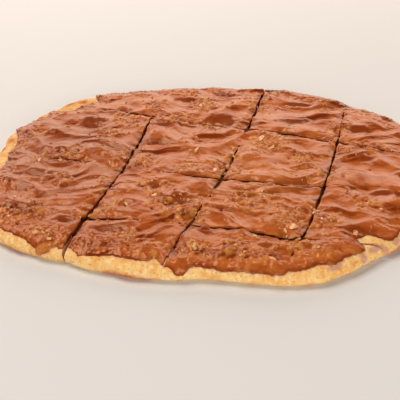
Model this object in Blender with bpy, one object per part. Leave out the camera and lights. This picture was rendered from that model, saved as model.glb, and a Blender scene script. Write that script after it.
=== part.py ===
"""Chocolate and nut pie on a thin bread base, cut into sixteen slices that keep its shape.

X runs to the right, Y to the back and Z up, in metres. The origin is on the surface that the
pie lies on, under the middle of its outline.
"""
import math
import random

import bmesh
import bpy
import numpy as np
from mathutils import Matrix, Vector, noise

MM = 0.001

# Outline of the pie, seen from above: the rim's distance from RIM_CENTRE every 22.5 degrees,
# from the right side round by the back, the left and the front.
RIM_CENTRE = np.array((-6.8, 3.3)) * MM
RIM_RADII = MM * np.array((
    158, 152, 137, 126, 123, 129, 145, 146, 144, 149, 141, 128, 125, 139, 145, 154,
))
RIM_WOBBLE = 1.3 * MM
RIM_WOBBLE_LENGTH = 17 * MM

# The knife's lines. A depth cut runs from back to front and a cross cut from left to right.
DEPTH_CUTS = (
    ((-38, 113), (-46, 70), (-61, -11), (-77, -72), (-88, -114)),
    ((39, 111), (24, 47), (4, -25), (-15, -78), (-28, -115)),
    ((98, 76), (86, 25), (69, -38), (49, -96), (33, -130)),
)
CROSS_CUTS = (
    ((-118, 86), (-75, 82), (-46, 70), (24, 47), (86, 25), (125, 6)),
    ((-145, 16), (-82, -1), (-61, -11), (4, -25), (69, -38), (115, -48)),
    ((-132, -57), (-77, -72), (-15, -78), (49, -96), (101, -99)),
)
CUT_OVERRUN = 40 * MM
CUT_WIDTH = 0.9 * MM
CROSSING_WIDENS = 0.8 * MM
CROSSING_REACH = 5 * MM
# Where a cut gapes: its place, and how much wider it is there, fading over the reach.
GAPES = (
    ((-82, -92), 1.6, 24),
    ((34, 92), 0.9, 22),
    ((19, -85), 0.8, 20),
    ((44, 42), 0.8, 18),
    ((60, -60), 0.6, 20),
    ((-66, -72), 0.9, 10),
    ((92, -99), 0.7, 14),
)

# Bread base. The rim's profile runs from its shoulder down to where it meets the surface:
# how far in from the outline, and how high.
DOUGH_TOP = 9.9 * MM
RIM_PROFILE = ((7.0, 9.9), (3.6, 9.3), (1.2, 7.6), (0.0, 4.9), (0.7, 1.9), (2.8, 0.0))
DOUGH_STEPS = 7

# Chocolate spread over the base, short of the rim by an uneven margin.
LAYER_GAP = 0.3 * MM
SPREAD = 2.8 * MM
SPREAD_LEAST = 1.5 * MM
BROAD_WAVE = (1.5 * MM, 30 * MM)
FINE_WAVE = (0.9 * MM, 11 * MM)
SPREAD_STEPS = 10
EDGE_ROUND = 1.6 * MM
EDGE_DROP = 0.7 * MM
EDGE_BULGE = 0.45
MARGIN = 7.0 * MM
MARGIN_LEAST = 4.2 * MM
MARGIN_WAVE = (2.2 * MM, 26 * MM)
# Where the margin is wider or narrower: angle, how much, and over how many degrees.
BARE_PATCHES = ((136, 7, 9), (152, 3, 6), (-121, 3, 12), (-33, 4, 12), (12, 4, 8), (-96, -2.5, 12))

# Chopped nuts: those that show most, by place and length, then scattered ones in each slice.
SHOWN_NUTS = (
    (-5, 65, 5.5), (-6, 85, 6.5), (-75, 44, 5), (-119, 3, 6), (-118, -28, 6), (31, -118, 8),
    (67, -73, 7), (56, -62, 5.5), (84, -20, 6), (44, -88, 6), (0, -8, 6), (-55, -51, 5.5),
    (19, -95, 5), (60, -105, 6), (42, 29, 6.5), (53, 37, 5), (-19, 11, 6), (-12, 15, 5.5),
)
NUTS_A_SLICE = 5
NUT_LENGTH = (3.5 * MM, 6.0 * MM)
NUT_BREADTH = 0.72
NUT_HEIGHT = 0.5
NUT_SUNK = 0.35
NUT_SPACING = 8.0 * MM
NUT_FROM_EDGE = 6.0 * MM
NUT_TRIES = 500
SEED = 16

ROWS = len(CROSS_CUTS) + 1
COLUMNS = len(DEPTH_CUTS) + 1
LINE_POINTS = 300
# A slice's corners: 0 or 1 for back or front, then 0 or 1 for left or right.
CORNERS = ((0, 0), (0, 1), (1, 0), (1, 1))


def clear_scene():
    """Remove every object that the file opened with."""
    for obj in list(bpy.data.objects):
        bpy.data.objects.remove(obj, do_unlink=True)


def material(name, colour, roughness):
    """A Principled material of one colour."""
    made = bpy.data.materials.new(name)
    made.use_nodes = True
    shader = made.node_tree.nodes["Principled BSDF"]
    shader.inputs["Base Color"].default_value = (*colour, 1.0)
    shader.inputs["Roughness"].default_value = roughness
    shader.inputs["Metallic"].default_value = 0.0
    made.diffuse_color = (*colour, 1.0)
    return made


def wave(x, y, height, length, layer):
    """A smooth uneven height at a place, from a noise of the given wavelength."""
    return height * noise.noise(Vector((x / length, y / length, layer)))


def cubic(t, start, end, leave, arrive):
    """A point t of the way along a smooth curve, by its ends and its slopes there."""
    return (
        (2 * t**3 - 3 * t**2 + 1) * start
        + (t**3 - 2 * t**2 + t) * leave
        + (3 * t**2 - 2 * t**3) * end
        + (t**3 - t**2) * arrive
    )


def smooth_line(knots, count):
    """Points along a smooth curve through the knots, run straight on past both ends."""
    knots = np.array(knots, float) * MM
    first = knots[0] - knots[1]
    last = knots[-1] - knots[-2]
    ahead = knots[0] + first / np.hypot(*first) * CUT_OVERRUN
    beyond = knots[-1] + last / np.hypot(*last) * CUT_OVERRUN
    knots = np.vstack([ahead, knots, beyond])
    slopes = np.gradient(knots, axis=0)
    place = np.linspace(0, len(knots) - 1, count)
    index = np.minimum(place.astype(int), len(knots) - 2)
    ends = knots[index], knots[index + 1], slopes[index], slopes[index + 1]
    return cubic((place - index)[:, None], *ends)


def rim_radius(angle, height):
    """The rim's distance from its centre, smooth through RIM_RADII and a little uneven."""
    count = len(RIM_RADII)
    place = (angle / (2 * math.pi) * count) % count
    index = int(place)
    before, start, end, after = (RIM_RADII[(index + k) % count] for k in (-1, 0, 1, 2))
    radius = cubic(place - index, start, end, (end - before) / 2, (after - start) / 2)
    x, y = radius * math.cos(angle), radius * math.sin(angle)
    return radius + wave(x, y, RIM_WOBBLE, RIM_WOBBLE_LENGTH, 5 + height / RIM_WOBBLE_LENGTH)


def margin(angle):
    """How far in from the rim the chocolate stops."""
    x, y = (RIM_RADII.mean() * f(angle) for f in (math.cos, math.sin))
    width = MARGIN + wave(x, y, *MARGIN_WAVE, 9)
    for at, extra, reach in BARE_PATCHES:
        away = (math.degrees(angle) - at + 180) % 360 - 180
        width += extra * MM * math.exp(-((away / reach) ** 2))
    return max(width, MARGIN_LEAST)


def cut_lines(knot_lists):
    return [smooth_line(knots, LINE_POINTS) for knots in knot_lists]


def meeting(first, second):
    """Where two lines of points cross, as a fractional index on each."""
    p, r = first[:-1], np.diff(first, axis=0)
    q, s = second[:-1], np.diff(second, axis=0)
    gap = q[None] - p[:, None]
    turn = r[:, None, 0] * s[None, :, 1] - r[:, None, 1] * s[None, :, 0]
    t = (gap[..., 0] * s[None, :, 1] - gap[..., 1] * s[None, :, 0]) / turn
    u = (gap[..., 0] * r[:, None, 1] - gap[..., 1] * r[:, None, 0]) / turn
    i, j = np.argwhere((t >= 0) & (t < 1) & (u >= 0) & (u < 1))[0]
    return i + t[i, j], j + u[i, j]


def at_index(line, place):
    index = min(int(place), len(line) - 2)
    return line[index] + (line[index + 1] - line[index]) * (place - index)


def stretch(line, start, end, steps):
    """Even points of a line from one fractional index to another."""
    inner = line[int(start) + 1:int(end) + 1]
    points = np.vstack([at_index(line, start), inner, at_index(line, end)])
    run = np.concatenate([[0], np.cumsum(np.hypot(*np.diff(points, axis=0).T))])
    even = np.linspace(0, run[-1], steps + 1)
    return np.stack([np.interp(even, run, points[:, k]) for k in (0, 1)], 1)


DEPTH_LINES = cut_lines(DEPTH_CUTS)
CROSS_LINES = cut_lines(CROSS_CUTS)
CROSSINGS = np.array([
    at_index(depth, meeting(depth, cross)[0]) for depth in DEPTH_LINES for cross in CROSS_LINES
])


def half_gap(points):
    """Half the width of a cut at each point along it."""
    away = np.hypot(*(points[:, None] - CROSSINGS[None]).transpose(2, 0, 1)).min(axis=1)
    width = CUT_WIDTH + CROSSING_WIDENS * np.exp(-((away / CROSSING_REACH) ** 2))
    for place, extra, reach in GAPES:
        away = np.hypot(*(points - np.array(place) * MM).T)
        width = width + extra * MM * np.exp(-((away / (reach * MM)) ** 2))
    return width / 2


def beside(line, side, inset):
    """A cut's line moved to one side, by half the cut's width and the inset."""
    along = np.gradient(line, axis=0)
    along /= np.hypot(*along.T)[:, None]
    across = np.stack([-along[:, 1], along[:, 0]], 1)
    return line + across * side * (half_gap(line) + inset)[:, None]


def rim_end(line, rim_inset, height, last):
    """The fractional index where a cut's line leaves the pie, at its first or last end."""
    offset = line - RIM_CENTRE
    angles = np.arctan2(offset[:, 1], offset[:, 0])
    reach = np.array([rim_radius(angle, height) - rim_inset(angle) for angle in angles])
    beyond = np.hypot(*offset.T) - reach
    within = np.flatnonzero(beyond < 0)
    index = within[-1] if last else within[0] - 1
    return index + beyond[index] / (beyond[index] - beyond[index + 1])


def angle_of(point):
    return math.atan2(point[1] - RIM_CENTRE[1], point[0] - RIM_CENTRE[0])


def rim_arc(start, end, rim_inset, height, steps):
    """Points along the rim from one angle to another, the short way round."""
    turn = (end - start + math.pi) % (2 * math.pi) - math.pi
    points = []
    for angle in np.linspace(start, start + turn, steps + 1):
        radius = rim_radius(angle, height) - rim_inset(angle)
        points.append(RIM_CENTRE + radius * np.array((math.cos(angle), math.sin(angle))))
    return np.array(points)


def slice_sides(row, column, rim_inset, cut_inset, height, steps):
    """A slice's back and front from left to right, and its left and right from back to front.

    rim_inset gives how far in from the rim a side lies at each angle, at the given height, and
    cut_inset how far in it lies from a cut's wall.
    """
    across = [None, None]
    down = [None, None]
    if row > 0:
        across[0] = beside(CROSS_LINES[row - 1], -1, cut_inset)
    if row < ROWS - 1:
        across[1] = beside(CROSS_LINES[row], 1, cut_inset)
    if column > 0:
        down[0] = beside(DEPTH_LINES[column - 1], 1, cut_inset)
    if column < COLUMNS - 1:
        down[1] = beside(DEPTH_LINES[column], -1, cut_inset)

    # Each corner's place, and how far along its two cuts it lies. A side on the rim has no cut.
    places = {}
    along_across = {}
    along_down = {}
    for i, j in CORNERS:
        if across[i] is not None and down[j] is not None:
            along_down[i, j], along_across[i, j] = meeting(down[j], across[i])
        elif across[i] is not None:
            along_across[i, j] = rim_end(across[i], rim_inset, height, j == 1)
        elif down[j] is not None:
            along_down[i, j] = rim_end(down[j], rim_inset, height, i == 1)
        if (i, j) in along_across:
            places[i, j] = at_index(across[i], along_across[i, j])
        elif (i, j) in along_down:
            places[i, j] = at_index(down[j], along_down[i, j])
    # A corner with the rim on both sides is halfway along its arc of the rim.
    for i, j in CORNERS:
        if (i, j) not in places:
            ends = angle_of(places[i, 1 - j]), angle_of(places[1 - i, j])
            places[i, j] = rim_arc(*ends, rim_inset, height, 2)[1]

    def side(line, along, first, last):
        if line is None:
            ends = angle_of(places[first]), angle_of(places[last])
            return rim_arc(*ends, rim_inset, height, steps)
        return stretch(line, along[first], along[last], steps)

    return (
        side(across[0], along_across, (0, 0), (0, 1)),
        side(across[1], along_across, (1, 0), (1, 1)),
        side(down[0], along_down, (0, 0), (1, 0)),
        side(down[1], along_down, (0, 1), (1, 1)),
    )


def ring(sides):
    """The four sides as one closed run of points, anticlockwise seen from above."""
    back, front, left, right = sides
    return np.vstack([left[:-1], front[:-1], right[::-1][:-1], back[::-1][:-1]])


def patch(sides, u, v):
    """The point of a slice at u from its left to its right and v from its back to its front."""
    back, front, left, right = sides
    steps = len(back) - 1
    i, j = round(u * steps), round(v * steps)
    ruled = (1 - v) * back[i] + v * front[i] + (1 - u) * left[j] + u * right[j]
    corners = (
        (1 - u) * (1 - v) * back[0] + u * (1 - v) * back[-1]
        + (1 - u) * v * front[0] + u * v * front[-1]
    )
    return ruled - corners


def new_object(name, bm, surface, collection):
    bmesh.ops.recalc_face_normals(bm, faces=bm.faces)
    mesh = bpy.data.meshes.new(name)
    bm.to_mesh(mesh)
    bm.free()
    mesh.materials.append(surface)
    obj = bpy.data.objects.new(name, mesh)
    collection.objects.link(obj)
    return obj


def smooth_shading(obj, angle):
    obj.data.shade_smooth()
    obj.data.set_sharp_from_angle(angle=math.radians(angle))


def make_dough(name, row, column, surface, collection):
    """A slice of the base: a stack of rings lofted from its top to the surface it lies on."""
    bm = bmesh.new()
    rings = []
    profile = RIM_PROFILE
    if 0 < row < ROWS - 1 and 0 < column < COLUMNS - 1:
        profile = (RIM_PROFILE[0], RIM_PROFILE[-1])
    for inset, height in profile:
        sides = slice_sides(row, column, lambda angle: inset * MM, 0, height * MM, DOUGH_STEPS)
        rings.append([bm.verts.new((x, y, height * MM)) for x, y in ring(sides)])
    bm.faces.new(rings[0])
    bm.faces.new(rings[-1][::-1])
    for upper, lower in zip(rings, rings[1:]):
        for k in range(len(upper)):
            bm.faces.new((upper[k - 1], lower[k - 1], lower[k], upper[k]))
    obj = new_object(name, bm, surface, collection)
    smooth_shading(obj, 40)
    return obj


def spread_height(x, y):
    """The chocolate's thickness at a place, in broad and fine waves."""
    thickness = SPREAD + wave(x, y, *BROAD_WAVE, 1) + wave(x, y, *FINE_WAVE, 2)
    return max(thickness, SPREAD_LEAST)


def make_chocolate(name, row, column, surface, collection):
    """A slice's chocolate: a waved sheet, with its edge turned down and closed underneath."""
    steps = SPREAD_STEPS
    bottom = DOUGH_TOP + LAYER_GAP
    sheet = slice_sides(
        row, column, lambda angle: margin(angle) + EDGE_ROUND, EDGE_ROUND, DOUGH_TOP, steps)
    edge = slice_sides(row, column, margin, 0, DOUGH_TOP, steps)
    bm = bmesh.new()
    bmesh.ops.create_grid(bm, x_segments=steps, y_segments=steps, size=0.5)
    for vert in bm.verts:
        u, v = vert.co.x + 0.5, 0.5 - vert.co.y
        x, y = patch(sheet, u, v)
        on_edge = min(u, v, 1 - u, 1 - v) < 0.5 / steps
        drop = EDGE_DROP if on_edge else 0
        vert.co = (x, y, bottom + spread_height(x, y) - drop)
    outer = ring(edge)
    for share in (EDGE_BULGE, 0.0):
        border = [e for e in bm.edges if e.is_boundary]
        made = bmesh.ops.extrude_edge_only(bm, edges=border)["geom"]
        for vert in (item for item in made if isinstance(item, bmesh.types.BMVert)):
            nearest = np.hypot(*(outer - np.array(vert.co[:2])).T).argmin()
            x, y = outer[nearest]
            vert.co = (x, y, bottom + share * spread_height(x, y))
    bmesh.ops.holes_fill(bm, edges=[e for e in bm.edges if e.is_boundary])
    obj = new_object(name, bm, surface, collection)
    smooth_shading(obj, 60)
    return obj, sheet


def nut_places(sheet, draw):
    """Where nuts lie on one slice: those that show, then scattered ones kept apart."""
    outline = ring(sheet)
    low, high = outline.min(axis=0), outline.max(axis=0)
    chosen = [
        (np.array((x, y)) * MM, length * MM) for x, y, length in SHOWN_NUTS
        if inside(np.array((x, y)) * MM, outline)
    ]
    for _ in range(NUT_TRIES):
        if len(chosen) >= NUTS_A_SLICE:
            break
        place = np.array([draw.uniform(*ends) for ends in zip(low, high)])
        from_edge = np.hypot(*(outline - place).T).min()
        apart = all(np.hypot(*(place - other)) > NUT_SPACING for other, _ in chosen)
        if inside(place, outline) and from_edge > NUT_FROM_EDGE and apart:
            chosen.append((place, draw.uniform(*NUT_LENGTH)))
    return chosen


def inside(place, outline):
    """Whether a place is inside a closed outline, by the turns of the sides seen from it."""
    away = outline - place
    angle = np.arctan2(away[:, 1], away[:, 0])
    turns = (np.diff(angle, append=angle[:1]) + math.pi) % (2 * math.pi) - math.pi
    return abs(turns.sum()) > math.pi


def fuse_nuts(obj, places, draw):
    """Join chopped nuts to a slice's chocolate with one Boolean union."""
    group = bpy.data.collections.new(obj.name + "_nuts")
    for place, length in places:
        half = length * NUT_HEIGHT / 2
        top = DOUGH_TOP + LAYER_GAP + spread_height(*place)
        height = max(top - half * NUT_SUNK, DOUGH_TOP + 2 * LAYER_GAP + half)
        bm = bmesh.new()
        bmesh.ops.create_icosphere(bm, subdivisions=1, radius=1)
        for vert in bm.verts:
            vert.co *= draw.uniform(0.85, 1.1)
        tilt = Matrix.Rotation(draw.uniform(-0.2, 0.2), 4, "X")
        turn = Matrix.Rotation(draw.uniform(0, math.pi), 4, "Z")
        size = Matrix.Diagonal((length / 2, length / 2 * NUT_BREADTH, half, 1))
        bm.transform(Matrix.Translation((*place, height)) @ turn @ tilt @ size)
        mesh = bpy.data.meshes.new("nut")
        bm.to_mesh(mesh)
        bm.free()
        group.objects.link(bpy.data.objects.new("nut", mesh))
    union = obj.modifiers.new("Nuts", "BOOLEAN")
    union.operation = "UNION"
    union.solver = "EXACT"
    union.operand_type = "COLLECTION"
    union.collection = group
    depsgraph = bpy.context.evaluated_depsgraph_get()
    fused = bpy.data.meshes.new_from_object(obj.evaluated_get(depsgraph))
    obj.modifiers.clear()
    plain = obj.data
    obj.data = fused
    bpy.data.meshes.remove(plain)
    fused.name = obj.name
    for nut in list(group.objects):
        bpy.data.meshes.remove(nut.data)
    bpy.data.collections.remove(group)
    smooth_shading(obj, 60)


def main():
    clear_scene()
    collection = bpy.data.collections.new("chocolate_pie")
    bpy.context.scene.collection.children.link(collection)
    bread = material("baked_dough", (0.87, 0.63, 0.33), 0.85)
    spread = material("chocolate_spread", (0.33, 0.12, 0.05), 0.3)
    draw = random.Random(SEED)
    for row in range(ROWS):
        for column in range(COLUMNS):
            place = f"r{row + 1}c{column + 1}"
            make_dough("dough_" + place, row, column, bread, collection)
            layer, sheet = make_chocolate("chocolate_" + place, row, column, spread, collection)
            fuse_nuts(layer, nut_places(sheet, draw), draw)


main()
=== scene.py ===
import math

import bmesh
import bpy
import numpy as np
from mathutils import Matrix, Vector, kdtree, noise


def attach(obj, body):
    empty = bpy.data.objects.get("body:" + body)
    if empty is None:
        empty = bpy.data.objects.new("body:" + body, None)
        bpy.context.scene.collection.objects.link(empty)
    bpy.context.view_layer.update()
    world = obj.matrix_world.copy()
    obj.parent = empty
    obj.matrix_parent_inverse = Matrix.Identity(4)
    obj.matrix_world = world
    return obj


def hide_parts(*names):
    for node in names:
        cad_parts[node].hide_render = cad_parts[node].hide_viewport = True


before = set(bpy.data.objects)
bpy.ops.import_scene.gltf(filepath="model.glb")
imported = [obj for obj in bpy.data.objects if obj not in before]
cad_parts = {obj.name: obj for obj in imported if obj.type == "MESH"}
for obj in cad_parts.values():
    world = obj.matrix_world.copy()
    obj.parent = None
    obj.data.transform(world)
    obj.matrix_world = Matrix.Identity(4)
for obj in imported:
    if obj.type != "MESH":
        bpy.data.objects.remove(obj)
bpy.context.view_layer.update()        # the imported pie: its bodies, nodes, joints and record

mm = 0.001
cellSize = 0.7    # mm between mesh points, a little over a pixel of the photograph

# the pie's plan, in millimetres, as its solids were built
pie = {
    "rimCentre": (-6.8, 3.3),
    # the rim's distance from its centre every 22.5 degrees, from the right round by the back
    "rimRadii": (158, 152, 137, 126, 123, 129, 145, 146, 144, 149, 141, 128, 125, 139, 145, 154),
    "rimWobble": 1.3,
    "rimWobbleLength": 17,
    "cutOverrun": 40,
    "cutWidth": 1.3,
    "crossingWidens": 0.8,
    "crossingReach": 5,
    "linePoints": 300,
    "doughTop": 9.9,
    "midHeight": 5.0,
    "bulgeBlur": (-1.2, 0, 1.2),    # degrees
}
depthCuts = (
    ((-38, 113), (-46, 70), (-61, -11), (-77.6, -72), (-90, -114)),
    ((39, 111), (24, 47), (4, -25), (-15, -78), (-28, -115)),
    ((98, 76), (86, 25), (69, -38), (49, -96), (33, -130)),
)
crossCuts = (
    ((-118, 86), (-75, 82), (-46, 70), (24, 47), (86, 25), (125, 6)),
    ((-145, 16), (-82, -1), (-61, -11), (4, -25), (69, -38), (115, -48)),
    ((-132, -57), (-77, -72), (-15, -78), (49, -96), (101, -99)),
)
# where a cut gapes: its place, how much wider it is there and how far that reaches
gapes = (
    ((-82, -92), 1.6, 24),
    ((34, 92), 0.9, 22),
    ((19, -85), 0.8, 20),
    ((44, 42), 0.8, 18),
    ((60, -60), 0.6, 20),
    ((-66, -72), 0.9, 10),
    ((95, -99), 1.3, 16),
    ((-53, 73), 1.8, 8),
    ((38, -93), 1.2, 12),
    ((56, 37), 1.0, 14),
    ((108, 12), 0.6, 14),
    ((-62, -73), 1.0, 9),
    ((16, -30), 0.7, 26),
    ((-52, 40), 0.6, 26),
    ((-77, -73), 1.4, 4),
)
rows = len(crossCuts) + 1
columns = len(depthCuts) + 1
corners = ((0, 0), (0, 1), (1, 0), (1, 1))    # back or front, then left or right
rimCentre = np.array(pie["rimCentre"])


# smooth noise from -1 to 1 over places in millimetres
def field(x, y, z, length, layer):
    places = zip(np.ravel(x) / length, np.ravel(y) / length, np.ravel(z) / length + layer)
    values = np.fromiter((noise.noise(place) for place in places), float, np.size(x))
    return values.reshape(np.shape(x))


def flatField(x, y, length, layer):
    return field(x, y, np.zeros(np.shape(x)), length, layer)


# the sum of fields over x and y, or x, y and z, each given as its mm across and its most
def fields(places, sizes, layer, apart=1):
    one = field if len(places) == 3 else flatField
    return sum(most * one(*places, across, layer + apart * k) for k, (across, most) in enumerate(sizes))


def smoothStep(low, high, value):
    t = np.clip((value - low) / (high - low), 0, 1)
    return t * t * (3 - 2 * t)


# a quarter circle's rise over a width, from 0 to 1
def roundOver(away, wide):
    return np.sqrt(np.clip(1 - (1 - np.clip(away / wide, 0, 1)) ** 2, 0, 1))


def cubic(t, start, end, leave, arrive):
    return (
        (2 * t**3 - 3 * t**2 + 1) * start
        + (t**3 - 2 * t**2 + t) * leave
        + (3 * t**2 - 2 * t**3) * end
        + (t**3 - t**2) * arrive
    )


def smoothLine(knots):
    knots = np.array(knots, float)
    first, last = knots[0] - knots[1], knots[-1] - knots[-2]
    ahead = knots[0] + first / np.hypot(*first) * pie["cutOverrun"]
    beyond = knots[-1] + last / np.hypot(*last) * pie["cutOverrun"]
    knots = np.vstack([ahead, knots, beyond])
    slopes = np.gradient(knots, axis=0)
    place = np.linspace(0, len(knots) - 1, pie["linePoints"])
    index = np.minimum(place.astype(int), len(knots) - 2)
    ends = knots[index], knots[index + 1], slopes[index], slopes[index + 1]
    return cubic((place - index)[:, None], *ends)


def rimRadius(angle, height):
    radii = np.array(pie["rimRadii"], float)
    count = len(radii)
    place = (angle / (2 * np.pi) * count) % count
    index = place.astype(int) % count
    before, start, end, after = (radii[(index + k) % count] for k in (-1, 0, 1, 2))
    radius = cubic(place - place.astype(int), start, end, (end - before) / 2, (after - start) / 2)
    x, y = radius * np.cos(angle), radius * np.sin(angle)
    z = height + np.zeros(np.shape(x))
    turned = (np.degrees(angle) + 180) % 360 - 180
    blur = pie["bulgeBlur"]
    bulge = sum(np.interp(turned + shift, *rimBulges.T, period=360) for shift in blur) / len(blur)
    return radius + bulge + pie["rimWobble"] * field(x, y, z, pie["rimWobbleLength"], 5)


# how far the baked rim bulges past the plain plan, or stays short of it: angle and mm
rimBulges = np.array((
    (-180, 1.0), (-160, 2.2), (-148, 4.0), (-143, 2.6), (-137, 0.0), (-131, -2.4), (-127.5, -3.8),
    (-122, -1.0), (-116, -0.8), (-109, 1.8), (-99, 1.2), (-92, -0.4), (-84, -1.6), (-75, -1.2),
    (-69, 1.4), (-62, 3.0), (-50, 0.8), (-40, 1.4), (0, 1.0), (14, 3.6), (22, 4.6),
    (26, 0.6), (33, 3.0), (37, 1.2), (45, 3.6), (56, 4.6), (64, 4.0), (68.5, 3.0),
    (79, 3.8), (90, 3.4), (102, 2.0), (114, 3.4), (131, 4.6), (137, 3.6), (143, 0.8),
    (150, 2.4), (156, 1.6), (160.5, 5.4), (164, 4.4), (168, 1.8), (172, 1.2),
))


def meeting(first, second):
    p, r = first[:-1], np.diff(first, axis=0)
    q, s = second[:-1], np.diff(second, axis=0)
    gap = q[None] - p[:, None]
    turn = r[:, None, 0] * s[None, :, 1] - r[:, None, 1] * s[None, :, 0]
    t = (gap[..., 0] * s[None, :, 1] - gap[..., 1] * s[None, :, 0]) / turn
    u = (gap[..., 0] * r[:, None, 1] - gap[..., 1] * r[:, None, 0]) / turn
    i, j = np.argwhere((t >= 0) & (t < 1) & (u >= 0) & (u < 1))[0]
    return i + t[i, j], j + u[i, j]


def atIndex(line, place):
    index = min(int(place), len(line) - 2)
    return line[index] + (line[index + 1] - line[index]) * (place - index)


# points of a line between two fractional indices, at shares of the way
def stretch(line, start, end, shares):
    inner = line[int(start) + 1:int(end) + 1]
    points = np.vstack([atIndex(line, start), inner, atIndex(line, end)])
    run = np.concatenate([[0], np.cumsum(np.hypot(*np.diff(points, axis=0).T))])
    return np.stack([np.interp(shares * run[-1], run, points[:, k]) for k in (0, 1)], 1)


depthLines = [smoothLine(knots) for knots in depthCuts]
crossLines = [smoothLine(knots) for knots in crossCuts]
crossings = np.array([
    atIndex(depth, meeting(depth, cross)[0]) for depth in depthLines for cross in crossLines
])


def halfGap(points):
    away = np.hypot(*(points[:, None] - crossings[None]).transpose(2, 0, 1)).min(axis=1)
    width = pie["cutWidth"] + pie["crossingWidens"] * np.exp(-((away / pie["crossingReach"]) ** 2))
    for place, extra, reach in gapes:
        away = np.hypot(*(points - np.array(place)).T)
        width = width + extra * np.exp(-((away / reach) ** 2))
    return width / 2


# a cut's line moved to one side by half its gap, where inset(line, cut) moves it further
def beside(lines, number, side, inset):
    line = lines[number]
    along = np.gradient(line, axis=0)
    along /= np.hypot(*along.T)[:, None]
    across = np.stack([-along[:, 1], along[:, 0]], 1)
    return line + across * side * (halfGap(line) + inset(line, lines, number))[:, None]


def flush(line, lines, number):
    return np.zeros(len(line))


# where the crust has closed again over a cut: depth or cross cut, its number, and the place
healed = (
    (depthLines, 1, (-28, -115), 16), (depthLines, 2, (33, -130), 16), (depthLines, 0, (-38, 113), 14),
    (depthLines, 2, (100, 86), 20), (crossLines, 0, (-118, 86), 22), (crossLines, 1, (-145, 16), 20),
    (crossLines, 2, (-132, -57), 20), (crossLines, 1, (145, -52), 22),
)
pinched = ((depthLines, 0, (-88, -112), 24),)    # where it has half closed at the floor alone
healedOverlap = 0.04
healedWhole = 0.6    # the share of its reach over which it is closed in full
pinch = {"most": 0.6, "upTo": (5, 11)}    # the share that has closed, and where that ends up the skin


# how far the crust's cut walls are moved out, at a way up along its skin
def crustInset(up=math.inf):
    low = pinch["most"] * (1 - smoothStep(*pinch["upTo"], up))
    closings = [(*place, 1) for place in healed] + [(*place, low) for place in pinched]

    def inset(line, lines, number):
        moved = np.zeros(len(line))
        for cuts, which, place, reach, most in closings:
            if cuts is lines and which == number:
                away = np.hypot(*(line - np.array(place)).T)
                closed = most * (1 - smoothStep(healedWhole * reach, reach, away))
                moved = np.minimum(moved, -closed * (halfGap(line) + healedOverlap))
        return moved

    return inset


def anglesOf(points):
    return np.arctan2(points[..., 1] - rimCentre[1], points[..., 0] - rimCentre[0])


# the fractional index where a cut's line passes the rim, whose distance at each angle reach gives
def rimEnd(line, reach, last):
    beyond = np.hypot(*(line - rimCentre).T) - reach(anglesOf(line))
    within = np.flatnonzero(beyond < 0)
    index = within[-1] if last else within[0] - 1
    return index + beyond[index] / (beyond[index] - beyond[index + 1])


def aroundRim(angle, distance):
    return rimCentre + distance[:, None] * np.stack([np.cos(angle), np.sin(angle)], 1)


def rimArc(start, end, reach, shares):
    turn = (end - start + math.pi) % (2 * math.pi) - math.pi
    angle = start + turn * shares
    return aroundRim(angle, reach(angle))


# a slice's back and front from left to right, and its left and right from back to front
def sliceSides(row, column, reach, inset, shares):
    def cutSides(lines, number, way):
        return [
            beside(lines, k, side, inset) if 0 <= k < len(lines) else None
            for k, side in ((number - 1, -way), (number, way))]

    across, down = cutSides(crossLines, row, 1), cutSides(depthLines, column, -1)
    places, alongAcross, alongDown = {}, {}, {}
    for i, j in corners:
        if across[i] is not None and down[j] is not None:
            alongDown[i, j], alongAcross[i, j] = meeting(down[j], across[i])
        elif across[i] is not None:
            alongAcross[i, j] = rimEnd(across[i], reach, j == 1)
        elif down[j] is not None:
            alongDown[i, j] = rimEnd(down[j], reach, i == 1)
        if (i, j) in alongAcross:
            places[i, j] = atIndex(across[i], alongAcross[i, j])
        elif (i, j) in alongDown:
            places[i, j] = atIndex(down[j], alongDown[i, j])
    for i, j in corners:    # a corner with the rim on both sides is halfway along its arc
        if (i, j) not in places:
            ends = anglesOf(places[i, 1 - j]), anglesOf(places[1 - i, j])
            places[i, j] = rimArc(*ends, reach, np.array((0, 0.5, 1)))[1]

    def side(line, along, first, last, share):
        if line is None:
            return rimArc(anglesOf(places[first]), anglesOf(places[last]), reach, share)
        return stretch(line, along[first], along[last], share)

    return {
        "back": side(across[0], alongAcross, (0, 0), (0, 1), shares[0]),
        "front": side(across[1], alongAcross, (1, 0), (1, 1), shares[0]),
        "left": side(down[0], alongDown, (0, 0), (1, 0), shares[1]),
        "right": side(down[1], alongDown, (0, 1), (1, 1), shares[1]),
    }


# a grid of places between four sides, from left to right and from back to front
def patch(sides, shares):
    u, v = shares[0][:, None, None], shares[1][None, :, None]
    back, front = sides["back"][:, None], sides["front"][:, None]
    left, right = sides["left"][None], sides["right"][None]
    ruled = (1 - v) * back + v * front + (1 - u) * left + u * right
    corner = (
        (1 - u) * (1 - v) * back[0] + u * (1 - v) * back[-1]
        + (1 - u) * v * front[0] + u * v * front[-1]
    )
    return ruled - corner


# the crust's profile: how far in from the outline and how high, from inside down to the floor
crustKnots = np.array((
    (30, 9.9), (12, 9.9), (7.0, 9.85), (3.6, 9.2), (1.2, 7.5), (0.0, 4.9), (0.7, 1.9), (2.6, 0.0),
))
crustPoints = 400
flatSlope = 0.6    # eases the curve onto the flat top


def crustCurve():
    place = np.linspace(0, len(crustKnots) - 1, crustPoints)
    index = np.minimum(place.astype(int), len(crustKnots) - 2)
    slopes = np.gradient(crustKnots, axis=0)
    slopes[1] *= flatSlope
    ends = crustKnots[index], crustKnots[index + 1], slopes[index], slopes[index + 1]
    curve = cubic((place - index)[:, None], *ends)
    run = np.concatenate([[0], np.cumsum(np.hypot(*np.diff(curve, axis=0).T))])
    return curve[::-1], (run[-1] - run)[::-1]


crustLine, crustRun = crustCurve()    # from the floor up, with the way along the skin


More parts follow.
